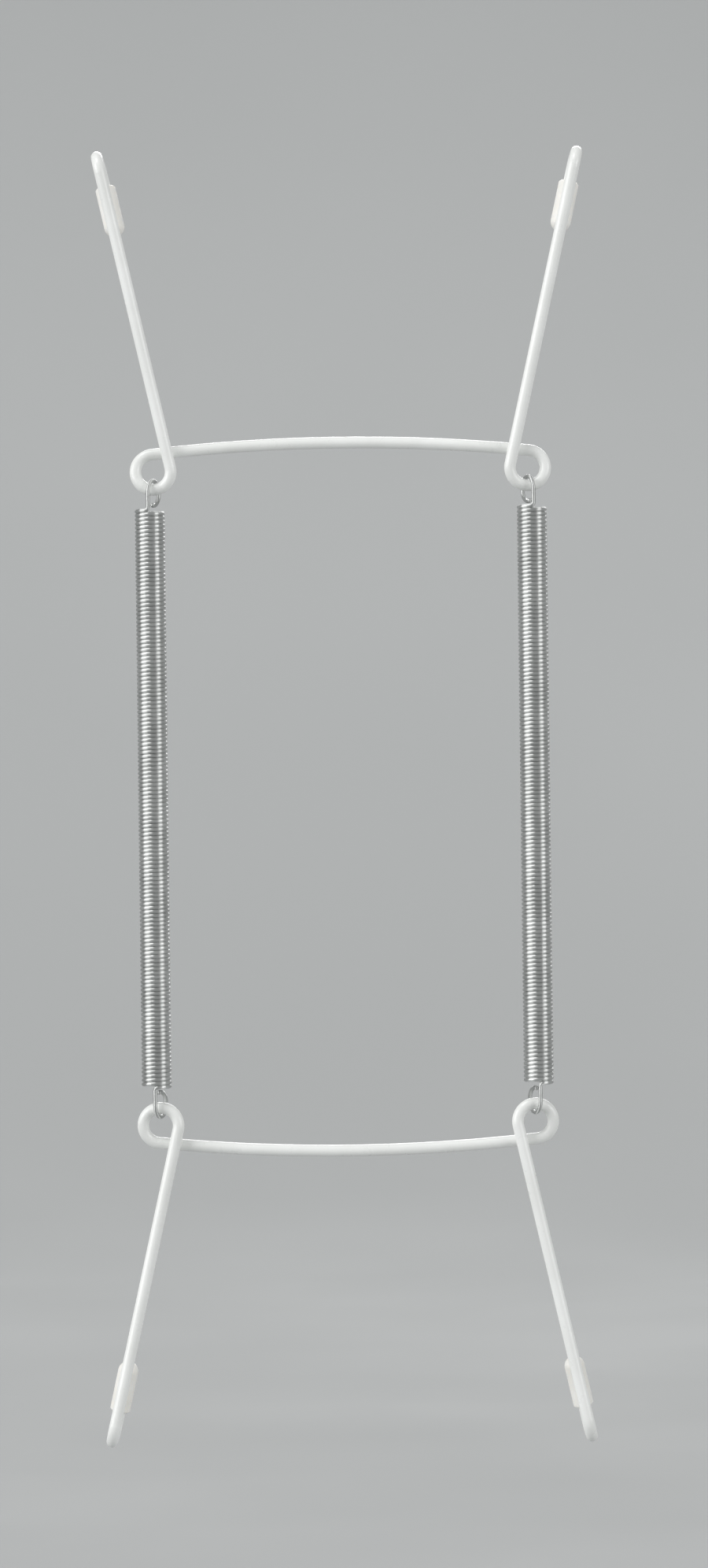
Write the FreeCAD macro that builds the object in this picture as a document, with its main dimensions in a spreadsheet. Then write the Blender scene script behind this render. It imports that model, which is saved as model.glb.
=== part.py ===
import FreeCAD, Part
import Sketcher
import math
import os

# Wire plate hanger: two bent wires joined by two extension springs, with a soft tip on each of
# four hooks. Millimetres. +X runs to the right, +Z up, and +Y from the wall towards the plate.
# The origin is the middle of the upper bar, on the wire's centre line.

Vector = FreeCAD.Vector
doc = FreeCAD.newDocument("wire_plate_hanger")

# Driving sizes. Angles are in degrees.
sheet = doc.addObject("Spreadsheet::Sheet", "sizes")
DRIVING_SIZES = [
    ("wire_dia", 2.0),            # bent wire, over its coating
    ("eye_spacing", 64.2),        # centre to centre of the two eyes of one wire
    ("eye_radius", 3.05),         # centre line of the wire round an eye
    ("crossing_gap", 0.15),       # between bar and arm where they cross at an eye
    ("bar_slope", 6.0),           # slope at which the bowed bar runs into each eye
    ("arm_lean", 12.7),           # outward lean of an arm from the vertical
    ("arm_length", 54.9),         # eye to the corner of the hook
    ("hook_depth", 14.0),         # arm to lip, between centre lines
    ("hook_turn", 100.0),         # bend from the hook's floor into its lip
    ("hook_bend_radius", 3.0),    # both bends of a hook, on the centre line
    ("lip_length", 12.0),         # corner of the hook to the end of the wire
    ("coil_dia", 5.2),            # outside of a spring
    ("coil_length", 99.4),        # close-wound body of a spring, at rest
    ("spring_wire", 0.7),         # wire of a spring
    ("coil_margin", 0.02),        # turns out of line stand this far proud of one another
    ("loop_sweep", 290.0),        # part of a circle that an end loop makes
    ("loop_yaw", 24.0),           # turn of an end loop about the spring's axis
    ("loop_offset", 0.7),         # an end loop stands this far inboard of the spring's axis
    ("loop_lift", 0.15),          # between an end loop's lowest part and the coil
    ("loop_play", 0.2),           # between an end loop and the eye that it pulls on
    ("tip_dia", 3.5),             # outside of a soft tip
    ("tip_length", 9.0),          # mouth to closed end of a tip
    ("tip_cap", 1.3),             # solid end of a tip, beyond its bore
    ("tip_fit", 0.03),            # between wire and bore, all round and at the end
    ("tip_mouth", 0.3),           # chamfer round the mouth of a tip
]
for row, (alias, value) in enumerate(DRIVING_SIZES, start=1):
    sheet.set(f"A{row}", alias)
    sheet.set(f"B{row}", str(value))
    sheet.setAlias(f"B{row}", alias)
doc.recompute()


def size(alias):
    """A driving size, read back from the sheet."""
    return float(sheet.get(alias))


def angle(alias):
    """A driving angle, in radians."""
    return math.radians(size(alias))


# Paths of bent wire: straight runs with a round bend at each corner.
def bent_path(corners, radii):
    """The centre line through the corners, each inner corner rounded to its radius."""
    touching = 1e-6
    edges = []
    here = corners[0]
    for before, corner, after, radius in zip(corners, corners[1:], corners[2:], radii):
        arriving = (corner - before).normalize()
        leaving = (after - corner).normalize()
        half_turn = arriving.getAngle(leaving) / 2
        setback = radius * math.tan(half_turn)
        start = corner - arriving * setback
        end = corner + leaving * setback
        inward = (leaving - arriving).normalize()
        middle = corner + inward * (radius / math.cos(half_turn) - radius)
        if start.distanceToPoint(here) > touching:
            edges.append(Part.makeLine(here, start))
        edges.append(Part.Arc(start, middle, end).toShape())
        here = end
    edges.append(Part.makeLine(here, corners[-1]))
    return Part.Wire(edges)


def swept_wire(name, path_shape, start, heading, radius_formula):
    """A round wire swept along a path, its thickness bound to the sheet."""
    path = doc.addObject("Part::Feature", name + "_path")
    path.Shape = path_shape
    section = doc.addObject("Part::Circle", name + "_section")
    section.setExpression("Radius", radius_formula)
    section.Placement = FreeCAD.Placement(start, FreeCAD.Rotation(Vector(0, 0, 1), heading))
    doc.recompute()
    sweep = doc.addObject("Part::Sweep", name)
    sweep.Sections = [section]
    sweep.Spine = (path, [f"Edge{i + 1}" for i in range(len(path_shape.Edges))])
    sweep.Solid = True
    sweep.Frenet = False
    return sweep


# The eye: one turn of the wire between bar and arm, in equal bends that also step towards the
# wall, so that the arm passes clear in front of the bar. All for the right-hand side.
EYE_BENDS = 6
LEVEL_ROUND_TO_UPRIGHT = math.radians(270)
eye_turn = LEVEL_ROUND_TO_UPRIGHT + angle("arm_lean") - angle("bar_slope")
bend_turn = eye_turn / EYE_BENDS
eye_step = size("wire_dia") + size("crossing_gap")
eye_x = size("eye_spacing") / 2
flat_setback = size("eye_radius") * math.tan(bend_turn / 2)
eye_setback = math.hypot(flat_setback, eye_step / (EYE_BENDS - 1) / 2)

# The bar: one shallow bow that runs into both eyes without a kink. Its top is the origin.
slope = angle("bar_slope")
touch_x = eye_x + size("eye_radius") * math.sin(slope)
bow_setback = touch_x / math.cos(slope) + flat_setback - eye_setback
bow_radius = bow_setback / math.tan(slope)
bow_corner = Vector(0, 0, bow_radius / math.cos(slope) - bow_radius)
eye_z = bow_corner.z - touch_x * math.tan(slope) - size("eye_radius") * math.cos(slope)
first_bend_angle = math.pi / 2 - slope - bend_turn / 2


def eye_corner(index):
    """A corner of the many-sided figure that the bends of the right eye round off."""
    around = first_bend_angle - index * bend_turn
    reach = size("eye_radius") / math.cos(bend_turn / 2)
    step = -eye_step * index / (EYE_BENDS - 1)
    return Vector(eye_x + reach * math.cos(around), step, eye_z + reach * math.sin(around))


# The arm and its hook, which opens towards the middle of the plate.
lean = angle("arm_lean")
arm_direction = Vector(math.sin(lean), 0, math.cos(lean))
arm_foot = Vector(
    eye_x - size("eye_radius") * math.cos(lean),
    -eye_step,
    eye_z + size("eye_radius") * math.sin(lean),
)
hook_heel = arm_foot + arm_direction * size("arm_length")
hook_toe = hook_heel + Vector(0, size("hook_depth"), 0)
lip_direction = Vector(0, 1, 0) * math.cos(angle("hook_turn"))
lip_direction = lip_direction - arm_direction * math.sin(angle("hook_turn"))
lip_end = hook_toe + lip_direction * size("lip_length")


def mirrored_in_x(point):
    """The same point on the other side of the hanger."""
    return Vector(-point.x, point.y, point.z)


# Both bent wires: one path from tip to tip, and the lower wire is the upper one turned over.
right_corners = [eye_corner(index) for index in range(EYE_BENDS)] + [hook_heel, hook_toe, lip_end]
left_corners = [mirrored_in_x(point) for point in reversed(right_corners)]
wire_corners = left_corners + [bow_corner] + right_corners


def turn_at(before, corner, after):
    """The angle through which a path turns at a corner."""
    return (corner - before).getAngle(after - corner)


eye_line = [bow_corner] + right_corners[:EYE_BENDS + 1]
eye_radii = [
    eye_setback / math.tan(turn_at(before, corner, after) / 2)
    for before, corner, after in zip(eye_line, eye_line[1:], eye_line[2:])
]
right_radii = eye_radii + [size("hook_bend_radius")] * 2
wire_radii = list(reversed(right_radii)) + [bow_radius] + right_radii
upper_wire = swept_wire(
    "upper_wire",
    bent_path(wire_corners, wire_radii),
    wire_corners[0],
    wire_corners[1] - wire_corners[0],
    "sizes.wire_dia / 2",
)

# Where an end loop of a spring pulls on the right upper eye: the lowest point of the eye.
seat_progress = (first_bend_angle + math.pi / 2) / bend_turn / (EYE_BENDS - 1)
seat = Vector(eye_x, -eye_step * seat_progress, eye_z - size("eye_radius"))

# Springs: a close-wound body, and at each end its wire rises from the rim into a standing loop,
# which is rooted as deep as two turns of the coil.
ROOT_TURNS = 2
coil_radius = (size("coil_dia") - size("spring_wire")) / 2
loop_radius = math.sqrt(coil_radius ** 2 - size("loop_offset") ** 2)
loop_hole = loop_radius - size("spring_wire") / 2
loop_z = seat.z + size("wire_dia") / 2 + size("loop_play") - loop_hole
coil_top = loop_z - loop_radius - size("spring_wire") / 2 - size("loop_lift")
middle_z = coil_top - size("coil_length") / 2


def end_loop(name, centre, forward, upward):
    """The loop over a coil's end: it rises at the front and turns over towards the back."""

    def on_loop(turned):
        return centre + (forward * math.cos(turned) + upward * math.sin(turned)) * loop_radius

    above_coil = abs(centre.z - middle_z) - size("coil_length") / 2
    root = on_loop(0) - upward * (above_coil + ROOT_TURNS * size("spring_wire"))
    sweep = angle("loop_sweep")
    arc = Part.Arc(on_loop(0), on_loop(sweep / 2), on_loop(sweep))
    path = Part.Wire([Part.makeLine(root, on_loop(0)), arc.toShape()])
    return swept_wire(name, path, root, upward, "sizes.spring_wire / 2")


def spring(name, side):
    """A spring on one side of the hanger: side is 1 for the right and -1 for the left."""
    yaw = angle("loop_yaw")
    out = Vector(side * math.cos(yaw), math.sin(yaw), 0)
    forward = Vector(side * math.sin(yaw), -math.cos(yaw), 0)
    centre = Vector(side * seat.x, seat.y, loop_z)
    axis = centre + out * size("loop_offset")
    body = doc.addObject("Part::Cylinder", name + "_body")
    body.setExpression("Radius", "sizes.coil_dia / 2 + sizes.coil_margin")
    body.setExpression("Height", "sizes.coil_length")
    bore = doc.addObject("Part::Cylinder", name + "_bore")
    bore.setExpression("Radius", "sizes.coil_dia / 2 - sizes.spring_wire - sizes.coil_margin")
    bore.setExpression("Height", "sizes.coil_length")
    for solid in (body, bore):
        solid.Placement.Base = Vector(axis.x, axis.y, coil_top - size("coil_length"))
    coil = doc.addObject("Part::Cut", name + "_coil")
    coil.Base = body
    coil.Tool = bore
    lower_centre = Vector(centre.x, centre.y, 2 * middle_z - centre.z)
    upper_loop = end_loop(name + "_upper_loop", centre, forward, Vector(0, 0, 1))
    lower_loop = end_loop(name + "_lower_loop", lower_centre, forward, Vector(0, 0, -1))
    whole = doc.addObject("Part::MultiFuse", name)
    whole.Shapes = [coil, upper_loop, lower_loop]
    return whole


left_spring = spring("left_spring", -1)
right_spring = spring("right_spring", 1)

lower_wire = doc.addObject("Part::Mirroring", "lower_wire")
lower_wire.Source = upper_wire
lower_wire.Base = Vector(0, 0, middle_z)
lower_wire.Normal = Vector(0, 0, 1)


# Soft tips: a sleeve with a blind bore and a round end, pushed over the end of each lip.
ORIGIN_POINT = (-1, 1)
TIP_SIZES = {
    "bore_radius": "sizes.wire_dia / 2 + sizes.tip_fit",
    "bore_depth": "sizes.tip_length - sizes.tip_cap",
    "outer_radius": "sizes.tip_dia / 2",
    "shoulder": "sizes.tip_length - sizes.tip_dia / 2",
    "mouth_width": "sizes.tip_mouth",
    "mouth_height": "sizes.tip_mouth",
}


def tip_profile(body, name):
    """Half of a tip's section: bore, mouth, wall and round end, beside the sketch's upright axis."""
    profile = body.newObject("Sketcher::SketchObject", name)
    planes = {plane.Role: plane for plane in body.Origin.OriginFeatures}
    profile.AttachmentSupport = (planes["XZ_Plane"], [""])
    profile.MapMode = "FlatFace"
    outer = size("tip_dia") / 2
    bore = size("wire_dia") / 2 + size("tip_fit")
    depth = size("tip_length") - size("tip_cap")
    mouth = size("tip_mouth")
    shoulder = size("tip_length") - outer
    corners = [
        Vector(0, depth, 0),
        Vector(bore, depth, 0),
        Vector(bore, 0, 0),
        Vector(outer - mouth, 0, 0),
        Vector(outer, mouth, 0),
        Vector(outer, shoulder, 0),
    ]
    for start, end in zip(corners, corners[1:]):
        profile.addGeometry(Part.LineSegment(start, end), False)
    blind_end, bore_wall, mouth_face, chamfer, outer_wall = range(5)
    end_circle = Part.Circle(Vector(0, shoulder, 0), Vector(0, 0, 1), outer)
    round_end = profile.addGeometry(Part.ArcOfCircle(end_circle, 0, math.pi / 2), False)
    top = Vector(0, size("tip_length"), 0)
    axis = profile.addGeometry(Part.LineSegment(top, corners[0]), False)
    for line in (blind_end, bore_wall, mouth_face, chamfer):
        profile.addConstraint(Sketcher.Constraint("Coincident", line, 2, line + 1, 1))
    profile.addConstraint(Sketcher.Constraint("Tangent", outer_wall, 2, round_end, 1))
    profile.addConstraint(Sketcher.Constraint("Coincident", round_end, 2, axis, 1))
    profile.addConstraint(Sketcher.Constraint("Coincident", axis, 2, blind_end, 1))
    for line in (blind_end, mouth_face):
        profile.addConstraint(Sketcher.Constraint("Horizontal", line))
    for line in (bore_wall, outer_wall, axis):
        profile.addConstraint(Sketcher.Constraint("Vertical", line))
    profile.addConstraint(Sketcher.Constraint("PointOnObject", round_end, 3, -2))
    profile.addConstraint(Sketcher.Constraint("PointOnObject", round_end, 2, -2))
    profile.addConstraint(Sketcher.Constraint("PointOnObject", mouth_face, 1, -1))
    measured = {
        "bore_radius": ("DistanceX", *ORIGIN_POINT, bore_wall, 2, bore),
        "bore_depth": ("DistanceY", *ORIGIN_POINT, blind_end, 1, depth),
        "outer_radius": ("DistanceX", *ORIGIN_POINT, outer_wall, 1, outer),
        "shoulder": ("DistanceY", *ORIGIN_POINT, outer_wall, 2, shoulder),
        "mouth_width": ("DistanceX", chamfer, 1, chamfer, 2, mouth),
        "mouth_height": ("DistanceY", chamfer, 1, chamfer, 2, mouth),
    }
    for label, measure in measured.items():
        index = profile.addConstraint(Sketcher.Constraint(*measure))
        profile.renameConstraint(index, label)
        profile.setExpression("Constraints." + label, TIP_SIZES[label])
    return profile


def soft_tip(name, wire_end, heading):
    """A tip on the end of a wire that runs along the heading."""
    body = doc.addObject("PartDesign::Body", name)
    profile = tip_profile(body, name + "_profile")
    turned = body.newObject("PartDesign::Revolution", name + "_turned")
    turned.Profile = profile
    turned.ReferenceAxis = (profile, ["V_Axis"])
    turned.Angle = 360
    body.Tip = turned
    bore_depth = size("tip_length") - size("tip_cap")
    mouth = wire_end + heading * (size("tip_fit") - bore_depth)
    body.Placement = FreeCAD.Placement(mouth, FreeCAD.Rotation(Vector(0, 0, 1), heading))
    return body


def mirrored_below(point):
    """The same point on the lower wire."""
    return Vector(point.x, point.y, 2 * middle_z - point.z)


def turned_down(direction):
    """The same direction on the lower wire."""
    return Vector(direction.x, direction.y, -direction.z)


tips = []
for side, end, way in (
    ("left", mirrored_in_x(lip_end), mirrored_in_x(lip_direction)),
    ("right", lip_end, lip_direction),
):
    tips.append(soft_tip(f"upper_{side}_tip", end, way))
    tips.append(soft_tip(f"lower_{side}_tip", mirrored_below(end), turned_down(way)))

# Every piece is checked before any is written.
pieces = [upper_wire, lower_wire, left_spring, right_spring] + tips
doc.recompute()
for item in doc.Objects:
    if "Invalid" in item.State or "Error" in item.State:
        raise RuntimeError(f"{item.Label} failed: {item.State}")
for piece in pieces:
    shape = piece.Shape
    if shape.isNull() or not shape.isValid() or len(shape.Solids) != 1:
        raise RuntimeError(f"{piece.Label} is not one sound solid")

os.makedirs("parts", exist_ok=True)
for piece in pieces:
    piece.Shape.exportStep(f"parts/{piece.Label}.step")
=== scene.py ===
import math

import bpy
import numpy as np
from mathutils import Matrix, Vector


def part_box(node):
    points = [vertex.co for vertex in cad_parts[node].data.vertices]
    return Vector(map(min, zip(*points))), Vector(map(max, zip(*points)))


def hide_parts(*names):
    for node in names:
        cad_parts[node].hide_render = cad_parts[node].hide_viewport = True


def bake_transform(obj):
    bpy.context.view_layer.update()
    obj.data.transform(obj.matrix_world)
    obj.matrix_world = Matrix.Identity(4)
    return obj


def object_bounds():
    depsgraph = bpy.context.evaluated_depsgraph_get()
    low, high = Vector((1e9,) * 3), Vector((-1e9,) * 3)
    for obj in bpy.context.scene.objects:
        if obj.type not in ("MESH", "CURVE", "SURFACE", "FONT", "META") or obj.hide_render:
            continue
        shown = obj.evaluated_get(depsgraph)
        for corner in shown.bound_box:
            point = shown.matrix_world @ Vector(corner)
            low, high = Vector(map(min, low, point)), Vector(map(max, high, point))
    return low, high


# Wire plate hanger: the bent wires and soft tips keep the solids' shapes, and each spring is wound
# turn by turn in place of its plain coil. Metres, in the solids' own frame.
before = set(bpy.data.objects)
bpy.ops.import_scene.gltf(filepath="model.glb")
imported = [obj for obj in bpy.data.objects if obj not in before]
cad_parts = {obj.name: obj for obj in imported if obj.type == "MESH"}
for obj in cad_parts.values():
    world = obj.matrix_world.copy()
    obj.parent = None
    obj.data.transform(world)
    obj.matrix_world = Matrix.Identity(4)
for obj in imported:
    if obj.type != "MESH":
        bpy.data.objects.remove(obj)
cad_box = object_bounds()

# Sizes of the springs, as the solids have them.
MM = 0.001
COIL_DIA = 5.2 * MM
COIL_LENGTH = 99.4 * MM
SPRING_WIRE = 0.7 * MM
LOOP_OFFSET = 0.7 * MM
LOOP_LIFT = 0.15 * MM
LOOP_SWEEP = math.radians(290)
LOOP_YAW = math.radians(24)
COIL_RADIUS = (COIL_DIA - SPRING_WIRE) / 2
LOOP_RADIUS = math.sqrt(COIL_RADIUS ** 2 - LOOP_OFFSET ** 2)
LOOP_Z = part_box("right_spring")[1].z - LOOP_RADIUS - SPRING_WIRE / 2
COIL_TOP = LOOP_Z - LOOP_RADIUS - SPRING_WIRE / 2 - LOOP_LIFT
COIL_BOTTOM = COIL_TOP - COIL_LENGTH
MIDDLE_Z = (COIL_TOP + COIL_BOTTOM) / 2

# How the wound wire is drawn.
RISER_BEND = 0.6 * MM     # radius at which the coil's wire turns into a loop
DRAWN_SHARE = 0.995       # of the wire's thickness, so that neighbouring turns stay apart
WIRE_SIDES = 10
POINTS_A_TURN = 28
POINTS_A_LOOP = 56
POINTS_A_BEND = 7


def new_object(name, data):
    """An object with this data, in the scene."""
    obj = bpy.data.objects.new(name, data)
    bpy.context.scene.collection.objects.link(obj)
    return obj


def shade_smooth(mesh):
    """Every face of a mesh smooth shaded."""
    mesh.polygons.foreach_set("use_smooth", [True] * len(mesh.polygons))


# Materials: noise varies each one, the middle of its range spread between two values.
NOISE_DETAIL = 3.0
COLOUR_RANGE = (0.35, 0.65)
ROUGHNESS_RANGE = (0.3, 0.7)


def new_material(name):
    """A new material, its shader, and the node that gives places in the object's own space."""
    material = bpy.data.materials.new(name)
    material.use_nodes = True
    nodes = material.node_tree.nodes
    shader = nodes["Principled BSDF"]
    place = nodes.new("ShaderNodeTexCoord")
    return material, shader, place


def noise(material, place, grains):
    """A noise texture of so many grains a metre."""
    texture = material.node_tree.nodes.new("ShaderNodeTexNoise")
    texture.inputs["Scale"].default_value = grains
    texture.inputs["Detail"].default_value = NOISE_DETAIL
    material.node_tree.links.new(place.outputs["Object"], texture.inputs["Vector"])
    return texture


def vary_colour(material, shader, texture, dark, light):
    """Base colour that drifts between two shades."""
    ramp = material.node_tree.nodes.new("ShaderNodeValToRGB")
    for stop, position, shade in zip(ramp.color_ramp.elements, COLOUR_RANGE, (dark, light)):
        stop.position = position
        stop.color = (*shade, 1)
    material.node_tree.links.new(texture.outputs["Fac"], ramp.inputs["Fac"])
    material.node_tree.links.new(ramp.outputs["Color"], shader.inputs["Base Color"])


def vary_roughness(material, shader, texture, low, high):
    """Roughness that drifts between two values."""
    spread = material.node_tree.nodes.new("ShaderNodeMapRange")
    spread.inputs["From Min"].default_value = ROUGHNESS_RANGE[0]
    spread.inputs["From Max"].default_value = ROUGHNESS_RANGE[1]
    spread.inputs["To Min"].default_value = low
    spread.inputs["To Max"].default_value = high
    material.node_tree.links.new(texture.outputs["Fac"], spread.inputs["Value"])
    material.node_tree.links.new(spread.outputs["Result"], shader.inputs["Roughness"])


def add_bump(material, shader, texture, strength, height):
    """Fine relief of this height."""
    bump = material.node_tree.nodes.new("ShaderNodeBump")
    bump.inputs["Strength"].default_value = strength
    bump.inputs["Distance"].default_value = height
    material.node_tree.links.new(texture.outputs["Fac"], bump.inputs["Height"])
    material.node_tree.links.new(bump.outputs["Normal"], shader.inputs["Normal"])


def white_coating():
    """Smooth white coating over wire."""
    material, shader, place = new_material("white_coating")
    tint = noise(material, place, grains=90)
    gloss = noise(material, place, grains=700)
    dimples = noise(material, place, grains=1400)
    vary_colour(material, shader, tint, dark=(0.79, 0.80, 0.78), light=(0.85, 0.86, 0.845))
    vary_roughness(material, shader, gloss, low=0.26, high=0.38)
    add_bump(material, shader, dimples, strength=0.12, height=0.03 * MM)
    shader.inputs["Coat Weight"].default_value = 0.2
    shader.inputs["Coat Roughness"].default_value = 0.14
    return material


def plated_steel():
    """Bright plated spring steel, drawn along the wire so that its shine spreads across it."""
    material, shader, place = new_material("plated_steel")
    tint = noise(material, place, grains=260)
    gloss = noise(material, place, grains=1200)
    grain = noise(material, place, grains=5000)
    vary_colour(material, shader, tint, dark=(0.57, 0.58, 0.57), light=(0.67, 0.68, 0.67))
    vary_roughness(material, shader, gloss, low=0.37, high=0.45)
    add_bump(material, shader, grain, strength=0.15, height=0.01 * MM)
    shader.inputs["Metallic"].default_value = 1.0
    drawn = material.node_tree.nodes.new("ShaderNodeTangent")
    drawn.direction_type = "RADIAL"
    drawn.axis = "Z"
    material.node_tree.links.new(drawn.outputs["Tangent"], shader.inputs["Tangent"])
    shader.inputs["Anisotropic"].default_value = 0.97
    shader.inputs["Anisotropic Rotation"].default_value = 0.25
    return material


def soft_vinyl():
    """Soft white vinyl that lets a little light through."""
    material, shader, place = new_material("soft_vinyl")
    tint = noise(material, place, grains=180)
    gloss = noise(material, place, grains=900)
    dimples = noise(material, place, grains=1800)
    vary_colour(material, shader, tint, dark=(0.78, 0.77, 0.73), light=(0.84, 0.83, 0.80))
    vary_roughness(material, shader, gloss, low=0.42, high=0.56)
    add_bump(material, shader, dimples, strength=0.2, height=0.05 * MM)
    shader.inputs["Subsurface Weight"].default_value = 0.25
    shader.inputs["Subsurface Radius"].default_value = (1.0, 0.9, 0.75)
    shader.inputs["Subsurface Scale"].default_value = 0.8 * MM
    return material


def pale_paint():
    """Matt pale paint of the floor and the wall behind it."""
    material, shader, place = new_material("pale_floor")
    tint = noise(material, place, grains=2)
    gloss = noise(material, place, grains=5)
    vary_colour(material, shader, tint, dark=(0.402, 0.41, 0.41), light=(0.416, 0.424, 0.424))
    vary_roughness(material, shader, gloss, low=0.8, high=0.95)
    shader.inputs["Specular IOR Level"].default_value = 0.1
    return material


def dress(obj, material):
    """One material all over, smooth shaded."""
    obj.data.materials.clear()
    obj.data.materials.append(material)
    shade_smooth(obj.data)


coating = white_coating()
steel = plated_steel()
vinyl = soft_vinyl()
for node in ("upper_wire", "lower_wire"):
    dress(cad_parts[node], coating)
for node in ("upper_left_tip", "upper_right_tip", "lower_left_tip", "lower_right_tip"):
    dress(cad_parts[node], vinyl)
for node in ("left_spring", "right_spring"):
    dress(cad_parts[node], steel)


# Springs: the whole length of wire, from the free end of one loop to that of the other.
def loop_points(centre, forward, upward):
    """A loop from its root on the coil's rim to its free end."""
    turned = np.linspace(0, LOOP_SWEEP, POINTS_A_LOOP)[:, None]
    return centre + (np.cos(turned) * forward + np.sin(turned) * upward) * LOOP_RADIUS


def coil_points(axis, start_angle):
    """The wound wire from the top down, with the bend into a loop at both its ends."""
    top = COIL_TOP - SPRING_WIRE / 2
    bottom = COIL_BOTTOM + SPRING_WIRE / 2
    turns = round((top - bottom) / SPRING_WIRE)
    length = turns * 2 * math.pi * COIL_RADIUS
    quarter = np.linspace(0, math.pi / 2, POINTS_A_BEND)
    upper_along = RISER_BEND - RISER_BEND * np.cos(quarter)
    upper_z = top + RISER_BEND - RISER_BEND * np.sin(quarter)
    lower_along = length - RISER_BEND + RISER_BEND * np.sin(quarter)
    lower_z = bottom - RISER_BEND + RISER_BEND * np.cos(quarter)
    wound_along = np.linspace(RISER_BEND, length - RISER_BEND, turns * POINTS_A_TURN)[1:-1]
    wound_z = top + (bottom - top) * (wound_along - RISER_BEND) / (length - 2 * RISER_BEND)
    along = np.concatenate([upper_along, wound_along, lower_along])
    around = start_angle - along / COIL_RADIUS
    ring = np.stack([np.cos(around), np.sin(around), np.zeros_like(around)], axis=1)
    points = axis + ring * COIL_RADIUS
    points[:, 2] = np.concatenate([upper_z, wound_z, lower_z])
    return points


def wire_mesh(name, points, radius, sides):
    """A round wire along points that don't start straight up, with closed ends."""
    tangent = np.gradient(points, axis=0)
    tangent /= np.linalg.norm(tangent, axis=1)[:, None]
    normal = np.zeros_like(points)
    first = np.cross(tangent[0], (0.0, 0.0, 1.0))
    normal[0] = first / np.linalg.norm(first)
    for i in range(1, len(points)):
        carried = normal[i - 1] - tangent[i] * np.dot(normal[i - 1], tangent[i])
        normal[i] = carried / np.linalg.norm(carried)
    side = np.cross(tangent, normal)
    turned = np.linspace(0, 2 * math.pi, sides, endpoint=False)[:, None]
    ring = normal[:, None] * np.cos(turned) + side[:, None] * np.sin(turned)
    vertices = (points[:, None] + ring * radius).reshape(-1, 3)
    faces = []
    for i in range(len(points) - 1):
        for j in range(sides):
            k = (j + 1) % sides
            faces.append((i * sides + j, i * sides + k, (i + 1) * sides + k, (i + 1) * sides + j))
    last = (len(points) - 1) * sides
    faces.append(tuple(reversed(range(sides))))
    faces.append(tuple(last + j for j in range(sides)))
    mesh = bpy.data.meshes.new(name)
    mesh.from_pydata(vertices.tolist(), [], faces)
    mesh.update()
    return mesh


def spring(name, node, side):
    """A wound spring in place of a node: side is 1 for the right and -1 for the left."""
    forward = np.array([side * math.sin(LOOP_YAW), -math.cos(LOOP_YAW), 0])
    out = np.array([side * math.cos(LOOP_YAW), math.sin(LOOP_YAW), 0])
    upward = np.array([0.0, 0.0, 1.0])
    low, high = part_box(node)
    axis = np.array([(low.x + high.x) / 2, (low.y + high.y) / 2, 0])
    upper = axis - out * LOOP_OFFSET + upward * LOOP_Z
    lower = axis - out * LOOP_OFFSET + upward * (2 * MIDDLE_Z - LOOP_Z)
    root = forward * LOOP_RADIUS - out * LOOP_OFFSET
    points = np.concatenate([
        loop_points(upper, forward, upward)[::-1],
        coil_points(axis, math.atan2(root[1], root[0])),
        loop_points(lower, forward, -upward),
    ])
    piece = new_object(name, wire_mesh(name, points, SPRING_WIRE / 2 * DRAWN_SHARE, WIRE_SIDES))
    dress(piece, steel)
    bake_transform(piece)
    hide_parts(node)


spring("left_spring_wound", "left_spring", -1)
spring("right_spring_wound", "right_spring", 1)

# Surroundings: a pale floor below the reach of the stretched part, which sweeps up far behind it.
ROOM_TO_STRETCH = 0.16
FLOOR_Z = cad_box[0].z - ROOM_TO_STRETCH
FLOOR_REACH = 9.0
SWEEP_START = 2.2
SWEEP_RADIUS = 1.0
SWEEP_POINTS = 25
WALL_HEIGHT = 1.2


def floor():
    """A wide pale floor with a curve up into a low wall at the back."""
    wall_y = SWEEP_START + SWEEP_RADIUS
    profile = [(-FLOOR_REACH, FLOOR_Z)]
    for turned in np.linspace(0, math.pi / 2, SWEEP_POINTS):
        rise = SWEEP_RADIUS - SWEEP_RADIUS * math.cos(turned)
        profile.append((SWEEP_START + SWEEP_RADIUS * math.sin(turned), FLOOR_Z + rise))
    profile.append((wall_y, FLOOR_Z + WALL_HEIGHT))
    vertices = [(x, y, z) for y, z in profile for x in (-FLOOR_REACH, FLOOR_REACH)]
    faces = [(2 * i, 2 * i + 1, 2 * i + 3, 2 * i + 2) for i in range(len(profile) - 1)]
    mesh = bpy.data.meshes.new("floor")
    mesh.from_pydata(vertices, [], faces)
    mesh.materials.append(pale_paint())
    shade_smooth(mesh)
    new_object("floor", mesh)


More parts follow.
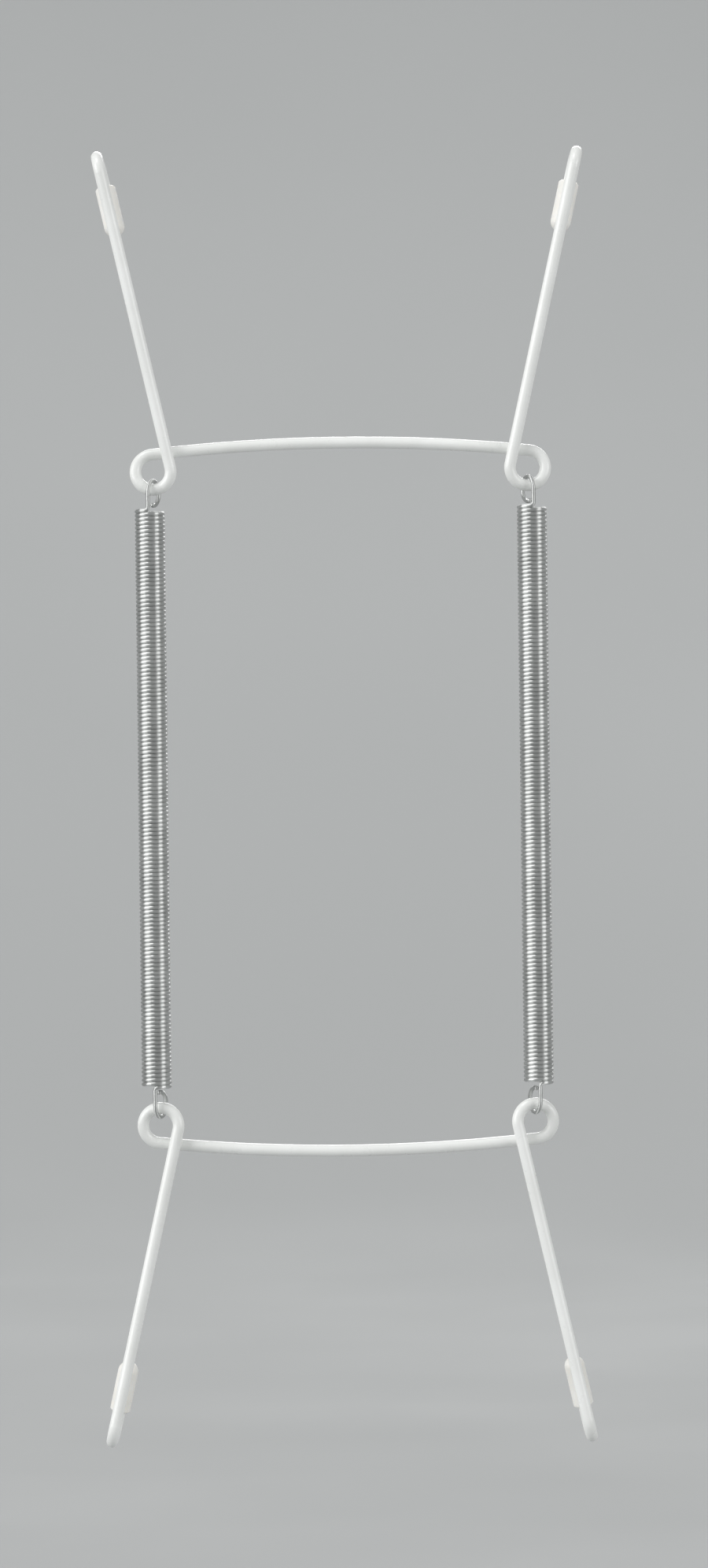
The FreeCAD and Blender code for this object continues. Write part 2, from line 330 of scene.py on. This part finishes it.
def surround():
    """Even pale light from all round."""
    world = bpy.data.worlds.new("studio")
    bpy.context.scene.world = world
    world.use_nodes = True
    pale = world.node_tree.nodes["Background"]
    pale.inputs["Color"].default_value = (0.455, 0.46, 0.46, 1)
    pale.inputs["Strength"].default_value = 1.0


def soft_light(name, place, strength, spread, shadow=True):
    """Even light from far off on one side, as wide as its spread in degrees, with or without shadow."""
    lamp = bpy.data.lights.new(name, "SUN")
    lamp.energy = strength
    lamp.angle = math.radians(spread)
    lamp.use_shadow = shadow
    obj = new_object(name, lamp)
    obj.location = place
    obj.rotation_euler = (-Vector(place)).to_track_quat("-Z", "Y").to_euler()


floor()
surround()
soft_light("wide_left", place=(-1.75, -0.85, 0.45), strength=1.95, spread=48)
soft_light("wide_right", place=(1.65, -1.05, 0.45), strength=1.0, spread=34)
soft_light("top", place=(-0.60, -0.50, 1.60), strength=0.75, spread=20)
soft_light("wide_back", place=(0.15, 1.40, 0.60), strength=1.15, spread=30, shadow=False)

# Camera: square on from the wall side, with the slight roll of the photograph.
IMAGE_HEIGHT = 1992       # pixels
PIXEL = 0.135 * MM        # size of a pixel on the part
RIGHT_OF_PART = 12.3      # the image's middle from the part's, in pixels
ABOVE_PART = 16           # the same, upwards
DISTANCE = 1.0
SENSOR = 36.0             # millimetres, as the lens
ROLL = math.radians(0.7)
camera_data = bpy.data.cameras.new("camera")
camera_data.sensor_fit = "VERTICAL"
camera_data.sensor_height = SENSOR
camera_data.lens = SENSOR * DISTANCE / (IMAGE_HEIGHT * PIXEL)
camera = new_object("camera", camera_data)
right = Vector((math.cos(ROLL), 0, -math.sin(ROLL)))
up = Vector((math.sin(ROLL), 0, math.cos(ROLL)))
back = Vector((0, -1, 0))
middle = Vector((0, 0, MIDDLE_Z)) + right * RIGHT_OF_PART * PIXEL + up * ABOVE_PART * PIXEL
turn = Matrix((right, up, back)).transposed().to_4x4()
camera.matrix_world = Matrix.Translation(middle + back * DISTANCE) @ turn
bpy.context.scene.camera = camera
bpy.context.scene.view_settings.view_transform = "Standard"
